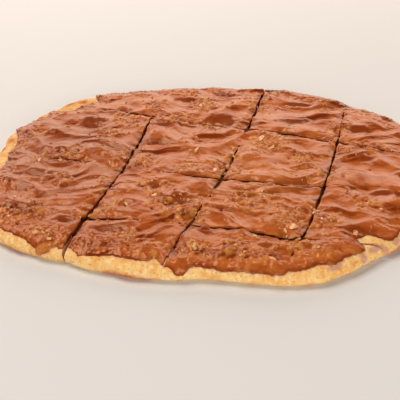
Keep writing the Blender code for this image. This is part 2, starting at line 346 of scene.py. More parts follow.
# inset, height and outward slope of the crust's skin, by the way up along it
def crustAt(up):
    inset, height = (np.interp(up, crustRun, crustLine[:, k]) for k in (0, 1))
    step = 0.3
    (inAhead, upAhead), (inBehind, upBehind) = (
        [np.interp(up + shift, crustRun, crustLine[:, k]) for k in (0, 1)] for shift in (step, -step))
    outward, upward = upAhead - upBehind, inAhead - inBehind
    size = np.hypot(outward, upward) + 1e-9
    return inset, height, outward / size, upward / size


# the way up along the skin to places on its shoulder or flat top
def upFromInset(inset):
    top = crustRun > crustRun[np.argmin(crustLine[:, 0])]
    return np.interp(inset, crustLine[top, 0], crustRun[top])


def isRim(row, column, side):
    return {
        "left": column == 0, "right": column == columns - 1,
        "back": row == 0, "front": row == rows - 1,
    }[side]


sideWays = (("left", 1), ("front", 1), ("right", -1), ("back", -1))    # anticlockwise round a slice


# what take gives for each side, joined into the rim's run and the cuts' run, anticlockwise
def runs(row, column, take):
    rim = [isRim(row, column, name) for name, _ in sideWays]

    def joined(wanted):
        if wanted not in rim:
            return None
        closed = all(kind == wanted for kind in rim)
        start = 0 if closed else next(k for k in range(4) if rim[k] == wanted != rim[k - 1])
        parts = []
        for k in range(start, start + 4):
            if rim[k % 4] != wanted:
                break
            name, way = sideWays[k % 4]
            parts.append(np.asarray(take(name))[::way])
        tail = [] if closed else [parts[-1][-1:]]
        return np.concatenate([part[:-1] for part in parts] + tail)

    return joined(True), joined(False)


# shares of the way along a side, with closer points beside a cut, where the edge is rounded
def sliceShares(row, column, cell, close):
    ends = np.array((0, 1))
    rough = (np.linspace(0, 1, 9),) * 2
    plain = sliceSides(row, column, lambda a: rimRadius(a, pie["midHeight"]), flush, rough)
    length = {name: np.hypot(*np.diff(side, axis=0).T).sum() for name, side in plain.items()}

    def shares(names, first, last):
        whole = max(length[name] for name in names)
        near = [np.array(close) if not isRim(row, column, name) else ends[:1] for name in (first, last)]
        low, high = near[0][-1] + cell * (len(near[0]) > 1), near[1][-1] + cell * (len(near[1]) > 1)
        inner = np.linspace(low, whole - high, round((whole - low - high) / cell) + 1)
        run = np.concatenate([near[0], inner, whole - near[1][::-1]]) / whole
        return np.unique(run.round(9))

    return shares(("back", "front"), "left", "right"), shares(("left", "right"), "back", "front")


def radial(places):
    offset = places - rimCentre
    return offset / (np.hypot(offset[..., 0], offset[..., 1])[..., None] + 1e-9)


# the outward direction in plan along an anticlockwise run of places
def outwards(run, closed):
    along = np.roll(run, -1, axis=0) - np.roll(run, 1, axis=0) if closed else np.gradient(run, axis=0)
    along /= np.hypot(*along.T)[:, None] + 1e-9
    return np.stack([along[:, 1], -along[:, 0]], 1)


# lumps and pits of the baked skin, fading out on the flat top and where it meets the floor
skin = {
    "lumps": ((10, 0.50), (4.2, 0.45), (1.9, 0.42)),    # mm across and high
    "pitAcross": 5.0,
    "pitDepth": 0.45,
    "pitFrom": 0.35,
    "fade": 3.0,
    "flatInset": 22,
}
innerInsets = {(3, 3): 14}    # how far in from the rim a slice's rings begin, where not at flatInset


# the way up the skin at places on the pie's top
def upAtPlaces(places):
    return upFromInset(rimRadius(anglesOf(places), pie["doughTop"]) - np.hypot(*(places - rimCentre).T))


def crustRelief(points, up):
    upInner = upFromInset(skin["flatInset"])
    height = fields(points.T, skin["lumps"], 20)
    pit = np.clip(field(*points.T, skin["pitAcross"], 31) - skin["pitFrom"], 0, 1)
    fade = np.clip(up / skin["fade"], 0, 1) * np.clip((upInner - up) / skin["fade"], 0, 1)
    return (height - skin["pitDepth"] * pit) * fade


# a run of points on the crust, at the way up that upAt gives for each angle
def crustRing(row, column, upAt, inset, shares):
    def reach(angle):
        into, height, _, _ = crustAt(upAt(angle))
        return rimRadius(angle, height) - into

    sides = sliceSides(row, column, reach, inset, shares)
    run, _ = runs(row, column, lambda name: sides[name])
    up = upAt(anglesOf(run))
    _, height, outward, upward = crustAt(up)
    points = np.column_stack([run, height])
    normals = np.column_stack([radial(run) * outward[:, None], upward])
    return points + normals * crustRelief(points, up)[:, None], normals, up


# the points and faces of one piece as they are made
class Shell:
    def __init__(self):
        self.parts, self.faces, self.count = [], [], 0

    def add(self, points):
        points = np.asarray(points, float).reshape(-1, 3)
        self.parts.append(points)
        self.count += len(points)
        return np.arange(self.count - len(points), self.count)

    # faces from one run of points out, or down, to the next; doubled points make triangles
    def band(self, inner, outer, closed=False):
        inner, outer = inner.tolist(), outer.tolist()
        if closed:
            inner.append(inner[0])
            outer.append(outer[0])
        for corner in zip(inner, outer, outer[1:], inner[1:]):
            ring = [p for k, p in enumerate(corner) if p != corner[k - 1]]
            if len(ring) > 2:
                self.faces.append(ring)

    def grid(self, index):
        a, b, c, d = index[:-1, :-1], index[1:, :-1], index[1:, 1:], index[:-1, 1:]
        self.faces += np.stack([a, d, c, b], -1).reshape(-1, 4).tolist()

    def cap(self, *runsOfPoints, down=False):
        ring = [int(k) for run in runsOfPoints for k in run]
        self.faces.append(ring[::-1] if down else ring)

    def points(self):
        return np.concatenate(self.parts)

    # the piece made of the points that its faces use
    def finish(self, name, points, surface, nodes, values, sharp=70):
        used = np.unique([p for face in self.faces for p in face])
        number = np.zeros(len(points), int)
        number[used] = np.arange(len(used))
        faces = [number[face].tolist() for face in self.faces]
        kept = {key: value[used] for key, value in values.items()}
        newPiece(name, points[used], faces, surface, nodes, kept, sharp)
        return len(faces)


def newPiece(name, points, faces, surface, nodes, values, sharp):
    mesh = bpy.data.meshes.new(name)
    mesh.from_pydata((np.asarray(points) * mm).tolist(), [], faces)
    for attribute, data in values.items():
        layer = mesh.attributes.new(attribute, "FLOAT", "POINT")
        layer.data.foreach_set("value", np.asarray(data, np.float32))
    mesh.update()
    mesh.shade_smooth()
    mesh.set_sharp_from_angle(angle=math.radians(sharp))
    mesh.materials.append(surface)
    piece = bpy.data.objects.new(name, mesh)
    bpy.context.scene.collection.objects.link(piece)
    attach(piece, "root")
    if nodes:
        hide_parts(*nodes)
    return piece


def linear(colour):
    parts = [int(colour[k:k + 2], 16) / 255 for k in (1, 3, 5)]
    return (*(p / 12.92 if p <= 0.04045 else ((p + 0.055) / 1.055) ** 2.4 for p in parts), 1.0)


# one node with its settings, and its inputs given as values or as sockets to link
def addNode(tree, kind, inputs=None, **settings):
    made = tree.nodes.new("ShaderNode" + kind)
    for name, value in settings.items():
        setattr(made, name, value)
    for name, value in (inputs or {}).items():
        socket = next(s for s in made.inputs if s.identifier == name)
        if isinstance(value, bpy.types.NodeSocket):
            tree.links.new(value, socket)
        else:
            socket.default_value = value
    return made


def newMaterial(name):
    made = bpy.data.materials.new(name)
    made.use_nodes = True
    tree = made.node_tree
    return made, tree, tree.nodes["Principled BSDF"]


# colours laid over a base in turn, each where its source rises from one value to another
def layered(tree, base, layers):
    for colour, source, begins, full, most in layers:
        share = addNode(tree, "MapRange", {
            "Value": source, "From Min": begins, "From Max": full, "To Max": most})
        base = addNode(tree, "Mix", {
            "Factor_Float": share.outputs[0], "A_Color": base, "B_Color": linear(colour),
        }, data_type="RGBA").outputs[2]
    return base


# links what feeds a surface, and sets its fixed values
def dress(tree, shader, base, rough, bump, fixed):
    sources = {"Base Color": base, "Roughness": rough.outputs[0], "Normal": bump.outputs[0]}
    for name, source in sources.items():
        tree.links.new(source, shader.inputs[name])
    for name, value in fixed.items():
        shader.inputs[name].default_value = value


def perMillimetre(across):
    return 1000 / across    # a pattern's scale, as its coordinates are in metres


print("plan: %d slices, crust skin %.1f mm from the floor to the flat top" % (
    rows * columns, upFromInset(7.0)))


# where the chocolate stops: the angle, and how far up the crust's skin its edge lies, in mm. Most are
# places seen in the photograph, turned into these measures outside this script by its view
chocolateEdge = (
    (-180, 18), (-177, 17.4), (-175.4, 15.7), (-172, 14.5), (-165, 16.5), (-158, 12.5), (-151, 13.4),
    (-146.9, 13), (-144.8, 11.8), (-143.2, 12.8), (-140.5, 12.8), (-137.8, 11.3), (-135.5, 8.5),
    (-134.3, 7.2), (-133.9, 5), (-133.2, 4.2), (-132.6, 4.3), (-131.9, 6.3), (-130.8, 8), (-130.5, 10.5),
    (-129.8, 12), (-128.8, 10.3), (-127.2, 12), (-126, 11.8), (-124.2, 10.8), (-123, 9.3), (-121.5, 10.5),
    (-118.7, 12.3), (-115, 13.8), (-111, 14.8), (-109.5, 15.3), (-107.5, 14.5), (-104.3, 14.3),
    (-103.4, 17), (-102.5, 16.2), (-101, 11.8), (-98.8, 10.3), (-97.7, 7.7), (-97, 6), (-96, 5),
    (-95.2, 5.4), (-94.4, 7.4), (-93.6, 10.3), (-91.5, 10.9), (-88.5, 9.8), (-84.5, 8.5), (-80.8, 9.5),
    (-77, 9.2), (-75.2, 8.8), (-73.8, 8), (-72.4, 8.8), (-71, 9.3), (-70, 11.2), (-67.5, 11), (-65.2, 13),
    (-63, 14.5), (-61.5, 13), (-58.8, 11.3), (-57.2, 12.3), (-54.8, 13), (-52, 12.2), (-49.8, 11.5),
    (-49, 14), (-48.3, 21), (-44.4, 22), (-43.6, 12), (-42, 10.5), (-40.2, 10.5), (-37, 12.5),
    (-31, 14.5), (-26, 12), (-20, 10.5), (-14, 12.5), (-8, 10), (-6, 7.5), (-4, 11), (3, 13), (9, 12),
    (14, 15.5), (17, 16.9), (21, 14), (24.8, 9.8), (35, 9.4), (44, 10.2), (52, 9.0), (61, 10.4), (68, 9.2),
    (77, 10.4), (84, 11.8), (87, 10.2), (90, 11.8), (94, 9.6), (103, 10.2), (111, 9.6), (115.5, 12.8),
    (118, 10), (125, 10.6), (128.5, 13), (130.4, 26), (135, 28), (141.2, 26), (143.8, 22), (145.0, 14.5),
    (146, 13.4), (148.6, 17), (151.5, 16.5), (152.9, 12.9), (155.9, 11.2), (158.7, 8.4), (161, 13),
    (163, 16.5), (165.8, 18), (170.8, 18.3), (173.4, 16.5), (176, 17.4), (178.7, 18.6),
)
edgeRagged = ((7.0, 0.6), (2.6, 0.8), (1.2, 0.4))    # mm across and mm in or out
edgeLeast = 4.2    # mm up the skin


def edgeUp(angle):
    knots = np.array(chocolateEdge, float)
    turned = np.degrees(angle)
    up = np.interp((turned + 180) % 360 - 180, knots[:, 0], knots[:, 1], period=360)
    mean = np.mean(pie["rimRadii"])
    x, y = mean * np.cos(angle), mean * np.sin(angle)
    for k, (length, size) in enumerate(edgeRagged):
        up = up + size * flatField(x, y, length, 60 + k)
    return np.maximum(up, edgeLeast)


# the baked base of each slice: a bare crust at the rim, and cut walls
bread = {
    "ringStep": 0.75,
    "wallRows": 6,
    "wallLumps": ((2.6, 0.20), (1.2, 0.10)),
    "spring": 0.9,    # the share of a cut that the soft bread closes again, low down
    # browned places: angle, way up the skin, and how far each reaches round and up in mm
    "toasted": (
        (-110.5, 2.8, 9, 2.6), (-113.8, 1.6, 6, 2.2), (-106, 1.4, 6, 1.8), (-72, 14, 6, 3), (-140, 2, 9, 2),
        (-40, 2.2, 12, 2), (-8, 3, 10, 2.5), (30, 2, 14, 2.5), (75, 3, 12, 3), (98, 2, 9, 2),
        (137, 13, 9, 4), (134, 19, 4, 4), (150, 12, 4, 3), (166, 13, 4, 3), (171, 9, 5, 3), (-165, 3, 10, 3),
    ),
    # thin smears of chocolate on the crust: angle, way up, and their reach round and up in mm
    "smears": (
        (-59.5, 10.2, 6.0, 2.2), (-51.3, 8.0, 2.8, 3.8), (-47.0, 9.6, 5.0, 2.2), (-41.0, 8.5, 3.6, 2.4),
        (-133.6, 4.0, 1.4, 3.0), (-16, 8, 4, 3), (58, 7, 5, 2), (108, 6.5, 4, 2),
    ),
    "filmReach": 0.8,
    "filmMost": 0.75,
    "flush": 0.01,    # mm out of plumb up to which a wall counts as upright
    "ragged": ((3.0, 0.5), (1.3, 0.35)),    # mm across, and how far it frays smears and toast
    "smearEdge": (0.3, 0.6),
    "filmEdge": (0.25, 0.9),
    "springFrom": (0.2, 0.7),    # the shares of the way down at which the spring begins and is full
    "cocoaFrom": (-1, 7),    # mm up a cut wall at which drawn chocolate begins and is full
}


def crustValues(points, up):
    angle = anglesOf(points)
    around = rimRadius(angle, pie["midHeight"])

    def spots(places):
        total = np.zeros(len(points))
        for at, height, reachRound, reachUp in places:
            turn = (angle - math.radians(at) + math.pi) % (2 * math.pi) - math.pi
            away = (turn * around / reachRound) ** 2 + ((up - height) / reachUp) ** 2
            total = np.maximum(total, np.exp(-away))
        return total

    ragged = fields(points.T, bread["ragged"], 71)
    smear = smoothStep(*bread["smearEdge"], spots(bread["smears"]) + 0.3 * ragged)
    near = np.exp(-np.clip(edgeUp(angle) - up, 0, 20) / bread["filmReach"])
    # beside the chocolate's own edge
    film = smoothStep(*bread["filmEdge"], near + 0.7 * ragged) * bread["filmMost"]
    return {
        "film": np.maximum(smear, film),
        "toast": np.clip(spots(bread["toasted"]) * (1.1 + ragged), 0, 1),
    }


def innerUp(row, column):
    return upFromInset(innerInsets.get((row, column), skin["flatInset"]))


def hasRim(row, column):
    return any(isRim(row, column, name) for name, _ in sideWays)


# the cuts' run with the ends of the rings that cross it, from the rim's end round to its start
def wallRun(cutRun, rings):
    after, before = [ring[-1] for ring in rings[:0:-1]], [ring[0] for ring in rings[1:]]
    return np.concatenate([after, cutRun, before]).astype(int) if rings else cutRun


# the same way up the skin at every angle
def levelAt(up):
    return lambda angle: np.full(np.shape(angle), up)


def makeBread(row, column, surface):
    shares = sliceShares(row, column, cellSize, (0, 0.6))
    shell = Shell()
    start = innerUp(row, column)
    rings, ups = [], []
    if hasRim(row, column):
        for up in np.append(np.arange(start, 0, -bread["ringStep"]), 0.0):
            points, _, ringUp = crustRing(row, column, levelAt(up), crustInset(up), shares)
            rings.append(shell.add(points))
            ups.append(ringUp)
        for upper, lower in zip(rings, rings[1:]):
            shell.band(upper, lower)
    inset = crustAt(start)[0]
    sides = sliceSides(row, column, lambda a: rimRadius(a, pie["doughTop"]) - inset, crustInset(), shares)
    _, cutRun = runs(row, column, lambda name: sides[name])
    edge = shell.add(np.column_stack([cutRun, np.full(len(cutRun), pie["doughTop"])]))
    ups.append(np.full(len(edge), start))
    if rings:    # the cuts' run and the innermost ring share their ends
        edge[0], edge[-1] = rings[0][-1], rings[0][0]
        shell.cap(edge[:-1], rings[0][:-1])
    else:
        shell.cap(edge)
    wall = [wallRun(edge, rings)]
    top = shell.points()[wall[0]]
    floor = top * (1, 1, 0)
    ends = len(rings)
    if rings:    # the crust's cut end fans in to where it meets the floor
        floor[:ends - 1], floor[-(ends - 1):] = top[0], top[-1]
    upright = (np.hypot(*(top - floor)[:, :2].T) < bread["flush"])[:, None]
    out = outwards(top[:, :2], not rings)
    for k in range(1, bread["wallRows"] + 1):
        share = k / bread["wallRows"]
        place = top * (1 - share) + floor * share
        if k < bread["wallRows"]:
            bulge = fields(place.T, bread["wallLumps"], 41, 0)
            bulge += bread["spring"] * smoothStep(*bread["springFrom"], share) * halfGap(place[:, :2])
            place[:, :2] += out * upright * bulge[:, None]
        index = shell.add(place)
        ups.append(np.full(len(index), start))
        if rings:
            index[0], index[-1] = wall[0][0], wall[0][-1]
            if k == bread["wallRows"]:
                index[:ends], index[-ends:] = wall[0][0], wall[0][-1]
        wall.append(index)
    for upper, lower in zip(wall, wall[1:]):
        shell.band(upper, lower, closed=not rings)
    if rings:
        shell.cap(wall[-1][ends - 1:-(ends - 1)], rings[-1][1:-1], down=True)
    else:
        shell.cap(wall[-1], down=True)
    points = shell.points()
    points[:, 2] = np.maximum(points[:, 2], 0)
    name = "r%dc%d" % (row + 1, column + 1)
    values = crustValues(points, np.concatenate(ups))
    # the knife has drawn chocolate down the cut walls
    onWall = np.zeros(len(points))
    onWall[np.unique(np.concatenate(wall[1:]))] = 1
    onWall[wall[0]] = 0
    streaky = 0.75 + 0.5 * field(points[:, 0], points[:, 1], points[:, 2] / 4, 1.6, 97)
    values["cocoa"] = onWall * np.clip(streaky * smoothStep(*bread["cocoaFrom"], points[:, 2]), 0, 1)
    return shell.finish("bread_" + name, points, surface, ["dough_" + name], values)


# plain wheat bread dough, baked pale: matt, grainy and a little see-through, gold where it browned
def bakedDough():
    look = {
        "pale": "#FCD088", "warm": "#F0AD5A", "floury": "#FFE6B4", "pore": "#CC8436", "toast": "#C9681C",
        "film": "#E0A688", "cocoa": "#5E260A", "roughness": 0.8, "filmRoughness": 0.36,
        "mottle": 8, "grain": 2.2, "poreAcross": 1.6, "bump": 1.1,    # mm across
    }
    made, tree, shader = newMaterial("bakedWheatDough")
    place = addNode(tree, "TexCoord").outputs["Object"]
    patterns = (    # a colour, the pattern's size, where it begins and is full, and its most
        ("warm", "mottle", 0.42, 0.66, 1.0), ("floury", "grain", 0.50, 0.64, 0.8),
        ("pore", "poreAcross", 0.56, 0.70, 0.7),
    )
    layers = []
    for number, (colour, across, begins, full, most) in enumerate(patterns):
        pattern = addNode(tree, "TexNoise", {
            "Vector": place, "W": float(number), "Scale": perMillimetre(look[across]), "Detail": 3.0,
        }, noise_dimensions="4D")
        layers.append((look[colour], pattern.outputs[0], begins, full, most))
    for attribute in ("toast", "cocoa", "film"):
        value = addNode(tree, "Attribute", attribute_name=attribute)
        layers.append((look[attribute], value.outputs["Fac"], 0.0, 1.0, 1.0))
    base = layered(tree, linear(look["pale"]), layers)
    rough = addNode(tree, "MapRange", {
        "Value": value.outputs["Fac"], "To Min": look["roughness"], "To Max": look["filmRoughness"]})
    grain = addNode(tree, "TexNoise", {
        "Vector": place, "Scale": perMillimetre(look["bump"]), "Detail": 4.0})
    bump = addNode(tree, "Bump", {
        "Height": grain.outputs[0], "Strength": 0.8, "Distance": 0.6 * mm})
    dress(tree, shader, base, rough, bump, {
        "Subsurface Weight": 0.15, "Subsurface Radius": (1.0, 0.6, 0.3), "Subsurface Scale": 1.5 * mm})
    return made


# the chocolate on each slice: the solids' thickness, then strokes, nut lumps, pits and hollows
chocolate = {
    "spread": 2.8,
    "least": 1.5,
    "waves": ((30, 1.5, 1), (11, 0.9, 2)),    # mm long and high, as in the solids
    "folds": ((38, 19, 2.1), (15, 7.5, 0.72), (6.5, 3.2, 0.3)),    # mm along, across and high
    "foldTurn": -4,    # degrees, from +X
    "foldWarps": ((42, 22), (15, 6.0)),    # mm across, and how far the folds wander
    "crest": 0.08,    # how round a fold's crest is
    "grains": ((9.0, 0.4), (4.4, 0.34), (2.1, 0.25), (1.4, 0.14)),
    "calm": 26,    # mm between calm and rough places
    "calmFade": (-0.1, 0.4),
    "roughMost": (0.6, 1.15),    # away from the nutty places, and in them before it is cut off at 1
    "slopeStep": 0.7,    # mm over which a fold's slope is measured
    # painted shade on slopes turned toward the camera: the slopes at which it begins and is full, and how its
    # edge frays
    "facingShadeFrom": (0.06, 0.38),    # the slopes at which a dark streak begins and is full
    "facingShadeRagged": (6, 0.14),
    "golden": (5, 0.05, 0.38, 0.95),    # mm across, where it begins and is full, and its most
    "bareLeast": 0.45,    # mm of spread that is left anywhere
    "lumpsEach": 44,
    "lumpAcross": (0.7, 2.0),
    "lumpHigh": (0.45, 1.4),
    "pitsEach": 9,
    "pitAcross": (0.7, 1.3),
    "pitDeep": (0.5, 1.3),
    "roundRim": 1.0,
    "thinRim": (0.27, 10),    # the share of its thickness that is left at its edge, and mm to the whole
    "roundCut": 0.9,
    "cutDrop": 0.7,
    "roll": (0.35, 1.3, 6.5),    # mm that it droops to a cut, least and most, and from how far
    "near": (0, 0.12, 0.35, 0.7, 1.15, 1.7),
    "proud": 0.15,
    "overlap": 0.05,
    "raggedCut": ((5.5, 0.65), (2.4, 0.6), (1.2, 0.35)),
    "skirt": (0.4, 4.0, 9),    # mm down the cut walls, least and most, and mm between long ones
    "underside": 9.2,
    "edgePoints": 12000,
    "clearance": 1.0,    # mm that its edge keeps below where a slice's rings begin
    "backThicker": (0.35, 20, 80),    # how much thicker its rim stays at the back, between two mm along Y
    # painted shade where the spread droops to a cut
    "cutShade": 0.7,
    # painted shade along the spread's rounded edge on the crust
    "edgeShade": (0.8, 0.3, 2.6),    # the most, and mm from the edge at which it begins to fade and ends
    "closeToCut": (0, 0.2, 0.5, 0.9, 1.4),    # mm from a cut of its closer points
    "nearMost": 0.7,    # the most of the way inwards that the points near its edge take up
    "rollUneven": (9, -0.3, 0.3),    # mm across, and where the droop is least and most
    "rollClosed": 0.85,    # the share of the droop that a closed cut takes away
    "rollMost": (0.6, 0.45),    # the most of its thickness that the droop and the rounding take
    "skirtUneven": (-0.15, 0.5),
    "skirtClosed": 0.9,
    "skirtFade": 6,    # points from the rim over which the skirt grows
    "skirtLeast": 0.1,
    "skirtLumps": (1.6, 0.12),
    # down a cut wall: share of the thickness, share of the skirt, mm further down, mm out
    "down": (
        (0.72, 0, 0, 0.10), (0.40, 0, 0, 0.15), (0.05, 0, 0, 0.12), (0, 0.35, 0.1, 0.10),
        (0, 0.7, 0.15, 0.08), (0, 1.0, 0.2, 0.04), (0, 1.0, 0.45, -0.55),
    ),
    "innerDepth": 1.6,    # mm that its underside runs in under the bread's skin
    "seed": 11,
}
# smooth tilted hollows, with painted shade that darkens the spread in them: centre and half sizes along X and
# Y. Most centres are places seen in the photograph, turned into millimetres outside this script by its view
hollows = (
    (-89, 60, 12, 15), (6, 63, 15, 13), (-116, -17, 16, 7), (-123, -57, 12, 6), (-90, -73, 10, 6),
    (-23, -51, 15, 11), (-61, -84, 12, 7), (-64, -100, 14, 4), (-6, -85, 6, 6), (8, -101, 6, 4),
    (102, 43, 14, 9), (58, 58, 16, 7), (102, -46, 9, 5), (82, -87, 14, 5), (102, 0, 8, 5),
    (-39, -34, 7, 6), (-37, 55, 8, 6), (-54, -56, 6, 5), (28, -103, 6, 5), (55, -105, 8, 4),
    (-107, 16, 9, 6), (125, -25, 11, 7), (60, -10, 9, 6), (-20, 100, 14, 6), (64, 88, 16, 6),
)
hollowLook = {
    "deep": 0.25, "tilt": 0.25, "tiltLimits": (-1.5, 2.0),
    "fade": (0.35, 1.2),    # shares of its size at which it begins to fade and ends
    "squash": 0.8,
    "ragged": ((8, 0.34), (3.5, 0.2)),    # mm across, and how far its edge frays
    # dark is how far painted shade darkens a hollow
    "dark": 0.75,
}
# where the spread is deeper in colour, or paler, partly its own tone and partly painted shade and painted
# light that even out how the light falls: place, reach and how far
toneAndShade = (
    (-115, 10, 60, 0.45), (-75, -95, 45, 0.25), (-95, 60, 30, 0.15), (25, -18, 42, -0.60),
    (40, -100, 30, -0.25),
)
# where chopped nuts lie thick in the spread: place and reach
nutty = (
    (6, -9, 12), (45, -72, 14), (38, 24, 14), (-31, -53, 10), (-24, -66, 8), (-9, 90, 12), (-75, 41, 8),
    (-101, -21, 9), (-118, 2, 7), (30, -111, 9), (-10, -105, 10), (-46, -3, 9), (-62, -58, 8), (66, -78, 9),
    (0, 52, 8), (60, 2, 9), (70, -22, 9), (-100, -92, 10), (-98, 12, 8), (24, -52, 16), (84, 30, 8),
    (12, -103, 11), (46, -100, 11), (92, 8, 8), (-45, 88, 8), (12, 8, 8), (-20, -10, 7),
)
# where a cut has closed again: along Y for the depth cuts and along X for the cross cuts
closings = {
    "soft": 2,    # mm over which it fades
    "reopened": (4.5, 0.30, 0.50, 0.7),    # mm across, where it begins and is full, and its most
    "depth": (
        ((68, 140, 1.0),), ((16, 38, 0.9), (-62, -38, 0.95)),
        ((-126, -99, 1.0), (42, 62, 0.7), (70, 120, 1.0)),
    ),
    "cross": (
        ((-44, -5, 1.0), (-160, -84, 0.85)),
        ((-59, -36, 1.0), (71, 112, 1.0), (-150, -112, 0.8), (-84, -66, 0.8)),
        ((-54, -17, 1.0), (-160, -80, 1.0), (58, 86, 0.85)),
    ),
}


def closing(line, lines, number):
    ways = closings["depth" if lines is depthLines else "cross"][number]
    along = line[:, 1 if lines is depthLines else 0]
    closed = np.zeros(len(line))
    for low, high, most in ways:
        start, end = (smoothStep(at - closings["soft"], at + closings["soft"], along) for at in (low, high))
        closed = np.maximum(closed, most * (start * (1 - end)))
    across, begins, full, most = closings["reopened"]
    return closed * (1 - most * smoothStep(begins, full, flatField(*line.T, across, 83)))


def chocolateInset(line, lines, number):
    closed = closing(line, lines, number)
    ragged = fields(line.T, chocolate["raggedCut"], 85, 0)
    opened = (ragged - chocolate["proud"]) * (1 - closed)
    return opened - closed * (halfGap(line) + chocolate["overlap"])


# how rough and nutty the spread is at places, from 0 to 1
def roughness(x, y):
    away, within = chocolate["roughMost"]
    rough = away * smoothStep(*chocolate["calmFade"], flatField(x, y, chocolate["calm"], 56))
    for cx, cy, reach in nutty:
        rough = np.maximum(rough, within * np.exp(-((x - cx) ** 2 + (y - cy) ** 2) / reach**2))
    return np.minimum(rough, 1)


scattered = {"tries": 6, "fromRim": 9, "least": 0.03}    # least is how often one is kept where it is calm


# random places clear of the rim, with a size, a height, a turn and a flatness; fewer where it is calm
def scatter(draw, count, across, high):
    tries = scattered["tries"] * count
    angle = draw.uniform(-math.pi, math.pi, tries)
    distance = np.sqrt(draw.uniform(0, 1, tries)) * (rimRadius(angle, pie["doughTop"]) - scattered["fromRim"])
    place = aroundRim(angle, distance)
    made = np.column_stack([
        place, draw.uniform(*across, tries), draw.uniform(*high, tries),
        draw.uniform(0, math.pi, tries), draw.uniform(0.5, 1.0, tries),
    ])
    kept = draw.uniform(0.0, 1.0, tries) < scattered["least"] + roughness(*place.T) ** 2
    return made[kept][:count]


lumpDraw = np.random.default_rng(chocolate["seed"])
lumps = scatter(lumpDraw, chocolate["lumpsEach"] * 16, chocolate["lumpAcross"], chocolate["lumpHigh"])
pits = scatter(lumpDraw, chocolate["pitsEach"] * 16, chocolate["pitAcross"], chocolate["pitDeep"])


# the sum of bumps at places, each a rounded block turned and flattened its own way
def bumps(x, y, spots, power):
    total = np.zeros(len(x))
    for cx, cy, across, high, turn, flat in spots:
        near = np.flatnonzero((np.abs(x - cx) < across * 2.2) & (np.abs(y - cy) < across * 2.2))
        a, b = x[near] - cx, y[near] - cy
        along = (a * math.cos(turn) + b * math.sin(turn)) / across
        over = (b * math.cos(turn) - a * math.sin(turn)) / (across * flat)
        total[near] = np.maximum(total[near], high * np.exp(-((along**2 + over**2) ** (power / 2))))
    return total


# folds drawn up by the knife, each with a narrow crest, and the nut meal's grain, in mm
def reliefAt(x, y, rough):
    turn = math.radians(chocolate["foldTurn"])
    along = x * math.cos(turn) + y * math.sin(turn)
    over = y * math.cos(turn) - x * math.sin(turn)
    for k, (across, wander) in enumerate(chocolate["foldWarps"]):
        over = over + wander * flatField(x, y, across, 54 + 20 * k)
    zero = np.zeros(len(x))
    large, *small = (
        high * (0.5 - 2 * np.hypot(field(along / length, over / width, zero, 1, 57 + k), chocolate["crest"]))
        for k, (length, width, high) in enumerate(chocolate["folds"]))
    grains = fields((x, y), chocolate["grains"], 61)
    return large + (0.35 + 0.65 * rough) * sum(small) + (0.2 + rough) * grains


# the chocolate's thickness at places on the pie, how far it is thin over nuts, and how dark it is:
# painted shade in hollows, in pits and along the side of each fold turned toward the camera, and the tones
def spreadAt(places):
    x, y = places.T
    waves = sum(high * flatField(x, y, length, layer) for length, high, layer in chocolate["waves"])
    hollow, tilt = np.zeros(len(x)), np.zeros(len(x))
    edge = fields((x, y), hollowLook["ragged"], 51)
    for cx, cy, halfX, halfY in hollows:
        far = np.hypot((x - cx) / halfX, (y - cy) / (hollowLook["squash"] * halfY)) + edge
        mask = 1 - smoothStep(*hollowLook["fade"], far)
        hollow = np.maximum(hollow, mask)
        lean = np.clip((y - cy) * hollowLook["tilt"], *hollowLook["tiltLimits"])
        tilt += mask * (lean - hollowLook["deep"])
    rough = roughness(x, y)
    step = chocolate["slopeStep"]
    facing = (reliefAt(x, y + step, rough) - reliefAt(x, y - step, rough)) / (2 * step)
    lump = bumps(x, y, lumps, 3.0)
    pit = bumps(x, y, pits, 2.6)
    thickness = np.maximum(chocolate["spread"] + (1 - 0.5 * hollow) * waves, chocolate["least"])
    thickness += tilt + (1 - 0.75 * hollow) * reliefAt(x, y, rough)
    thickness += lump * (1 - 0.6 * hollow) - np.minimum(pit, thickness - 0.5)
    across, begins, full, most = chocolate["golden"]
    golden = most * smoothStep(begins, full, flatField(x, y, across, 67)) * rough
    thin = np.clip(lump / chocolate["lumpHigh"][1] + golden * (1 - hollow), 0, 1)
    # painted shade along the side of each fold turned toward the camera, frayed by noise
    across, most = chocolate["facingShadeRagged"]
    streak = smoothStep(*chocolate["facingShadeFrom"], facing + most * flatField(x, y, across, 66))
    # hollows and pits take painted shade, the pits darker the deeper they are
    dark = np.maximum(np.maximum(hollowLook["dark"] * hollow, streak), np.minimum(1.5 * pit, 1))
    # the tones: partly the spread's own colour, partly painted shade and painted light
    tone = sum(
        most * np.exp(-((x - cx) ** 2 + (y - cy) ** 2) / reach**2) for cx, cy, reach, most in toneAndShade)
    dark = np.where(tone > 0, dark + (1 - dark) * tone, dark * (1 + tone))
    thin = np.clip(thin - 0.3 * np.minimum(tone, 0), 0, 1)
    return np.maximum(thickness, chocolate["bareLeast"]), thin, dark, rough * (1 - hollow)


# for each point, how far off the nearest point of a run is, and which it is
def nearestOf(points, run):
    away, nearest = np.empty(len(points)), np.empty(len(points), int)
    for low in range(0, len(points), 4000):
        part = points[low:low + 4000, None] - run[None]
        distance = np.sqrt((part**2).sum(axis=2))
        nearest[low:low + 4000] = distance.argmin(axis=1)
        away[low:low + 4000] = distance.min(axis=1)
    return away, nearest


cutPoints = np.vstack(depthLines + crossLines)
cutClosed = np.concatenate([
    closing(line, lines, number) for lines in (depthLines, crossLines) for number, line in enumerate(lines)
])


# how far the nearest cut's line is from each place, and how far that cut has closed there
def cutsNear(places):
    away, nearest = nearestOf(places, cutPoints)
    return away, cutClosed[nearest]


